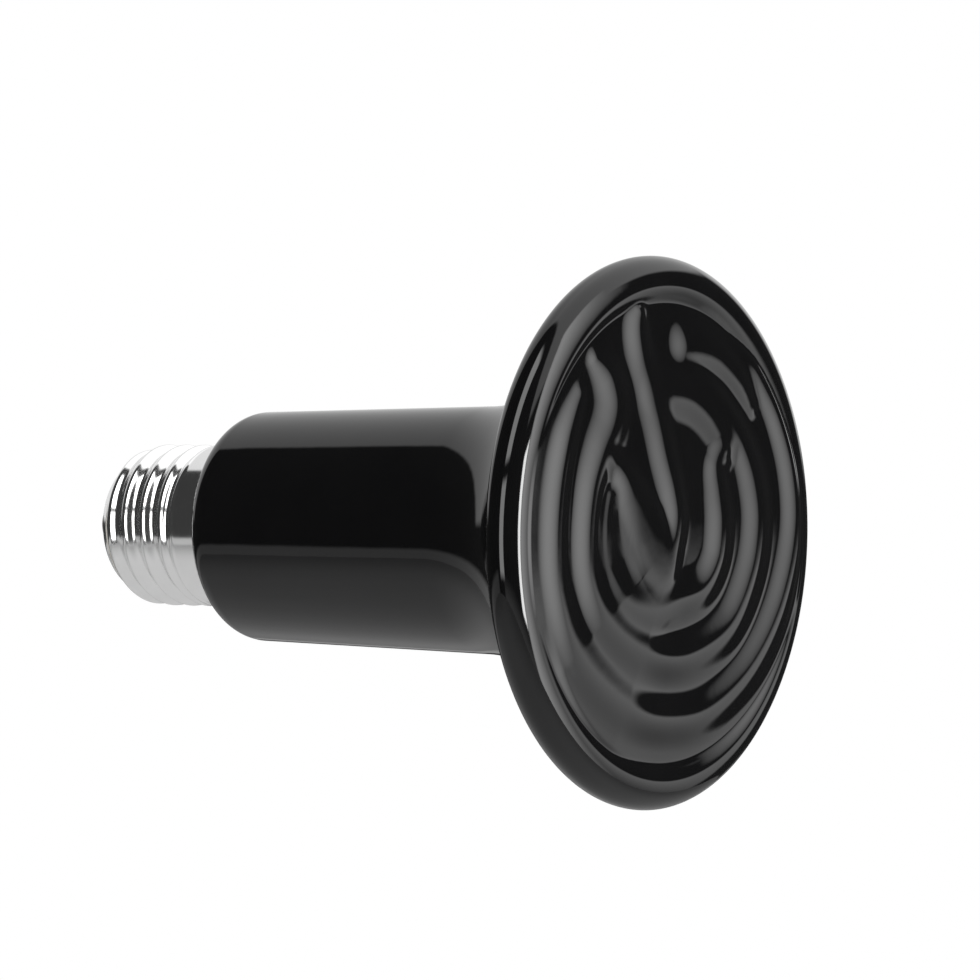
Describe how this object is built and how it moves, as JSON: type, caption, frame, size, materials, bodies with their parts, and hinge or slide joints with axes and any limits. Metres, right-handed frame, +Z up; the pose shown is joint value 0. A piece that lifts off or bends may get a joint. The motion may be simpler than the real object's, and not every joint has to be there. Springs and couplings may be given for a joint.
{
  "type": "ceramic heat emitter",
  "caption": "Trumpet-shaped ceramic heat emitter with a glossy glaze, a wide round face with raised heating ridges and an E27 screw cap.",
  "frame": {"origin": "tip of the cap, at the middle of the centre contact's flat face", "axes": "+X along the axis, from the cap towards the ridged face; +Z up; +Y across the face"},
  "size_m": [0.11, 0.085, 0.085],
  "materials": {
    "black_glaze": "glossy black glaze",
    "nickel_sheet": "bright nickel-plated sheet",
    "light_ceramic": "unglazed light ceramic",
    "contact_metal": "nickel-plated contact",
    "solder": "dull solder",
    "cement": "rough light cement",
    "lead_wire": "plain nickel wire",
    "insulating_tube": "light ceramic tube"
  },
  "bodies": {
    "root": {"ceramic_body": "black_glaze", "screw_shell": "nickel_sheet", "cap_insulator": "light_ceramic", "centre_contact": "contact_metal", "contact_solder": "solder", "cap_cement": "cement", "contact_lead": "lead_wire", "shell_lead": "lead_wire", "contact_sleeve": "insulating_tube", "shell_sleeve": "insulating_tube"}
  },
  "joints": []
}
